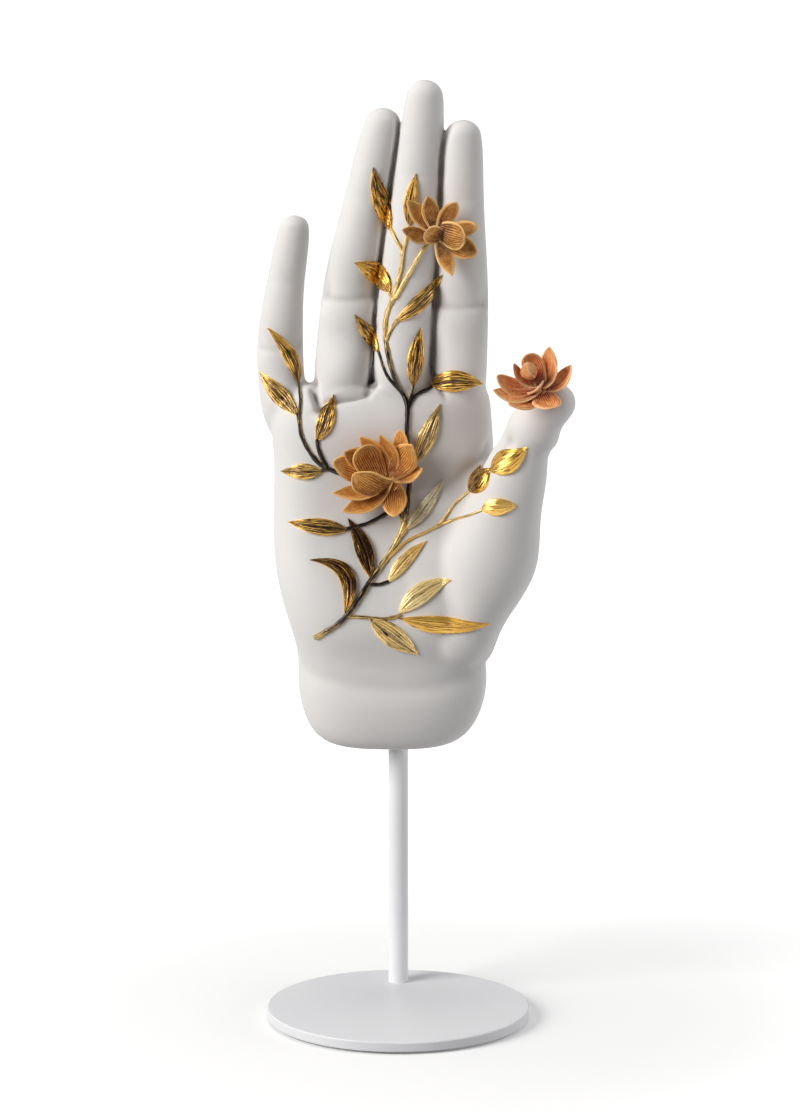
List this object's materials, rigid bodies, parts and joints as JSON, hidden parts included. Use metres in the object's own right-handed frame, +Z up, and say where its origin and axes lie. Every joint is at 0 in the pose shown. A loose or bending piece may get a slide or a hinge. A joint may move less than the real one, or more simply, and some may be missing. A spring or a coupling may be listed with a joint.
{
  "type": "ceramic hand sculpture",
  "caption": "Upright white bisque hand with a gilt vine and applied flowers on its palm, turning on a rod that stands on a round steel plate.",
  "frame": {"origin": "middle of the round stand's underside, on the surface it stands on", "axes": "+Z up along the hand, the palm and its flowers face -Y, +X towards the thumb"},
  "size_m": [0.1255, 0.109, 0.3696],
  "materials": {
    "bisque_white": "unglazed, matt and very smooth",
    "gilt_leaf": "burnished gold lustre with engraved veins",
    "bronze_stem": "dark bronze lustre, gold on the ridges",
    "petal_terracotta": "matt peach brown, veined, darker at the root",
    "petal_coral": "matt coral, darker at the root",
    "painted_steel": "satin white powder coat",
    "zinc_steel": "zinc plated",
    "brass_tube": "drawn, bright",
    "nylon": "turned natural nylon",
    "plaster": "cast casting plaster",
    "felt": "pressed wool felt"
  },
  "bodies": {
    "stand": {"base_plate": "painted_steel", "base_felt": "felt", "stand_rod": "painted_steel", "rod_screw": "zinc_steel"},
    "swivel": {"pivot_cap": "nylon"},
    "hand": {"finger_flower_calyx": "petal_terracotta", "finger_flower_inner_petals": "petal_terracotta", "finger_flower_middle_petals": "petal_terracotta", "finger_flower_outer_petals": "petal_terracotta", "hand_shell": "bisque_white", "leaf_heel_hook": "gilt_leaf", "leaf_heel_long": "gilt_leaf", "leaf_heel_lower": "gilt_leaf", "leaf_heel_upper": "gilt_leaf", "leaf_index_base": "gilt_leaf", "leaf_little_outer": "gilt_leaf", "leaf_little_root": "gilt_leaf", "leaf_little_upper": "gilt_leaf", "leaf_middle_lower": "gilt_leaf", "leaf_middle_side": "gilt_leaf", "leaf_middle_upper": "gilt_leaf", "leaf_palm_blade": "gilt_leaf", "leaf_palm_centre": "gilt_leaf", "leaf_palm_edge": "gilt_leaf", "leaf_palm_lance": "gilt_leaf", "leaf_palm_side": "gilt_leaf", "leaf_palm_upper": "gilt_leaf", "leaf_ring_lower": "gilt_leaf", "leaf_ring_side": "gilt_leaf", "leaf_ring_upper": "gilt_leaf", "leaf_thumb_bud": "gilt_leaf", "leaf_thumb_root": "gilt_leaf", "leaf_thumb_side": "gilt_leaf", "palm_flower_calyx": "petal_terracotta", "palm_flower_inner_petals": "petal_terracotta", "palm_flower_middle_petals": "petal_terracotta", "palm_flower_outer_petals": "petal_terracotta", "socket_plaster": "plaster", "socket_stop": "brass_tube", "socket_tube": "brass_tube", "stem_finger_flower": "bronze_stem", "stem_heel_branch": "bronze_stem", "stem_little_branch": "bronze_stem", "stem_main": "bronze_stem", "stem_palm_edge": "bronze_stem", "stem_thumb_branch": "bronze_stem", "stem_top_fork": "bronze_stem", "thumb_flower_bud": "petal_coral", "thumb_flower_calyx": "petal_coral", "thumb_flower_inner_petals": "petal_coral", "thumb_flower_middle_petals": "petal_coral", "thumb_flower_outer_petals": "petal_coral"}
  },
  "joints": [
    {"name": "hand_swivel", "type": "hinge", "parent": "stand", "child": "swivel", "pos_m": [0, 0.035, 0.152], "axis": [0, 0, 1], "continuous": true},
    {"name": "hand_lift", "type": "slide", "parent": "swivel", "child": "hand", "axis": [0, 0, 1], "range_m": [0, 0.058]}
  ]
}
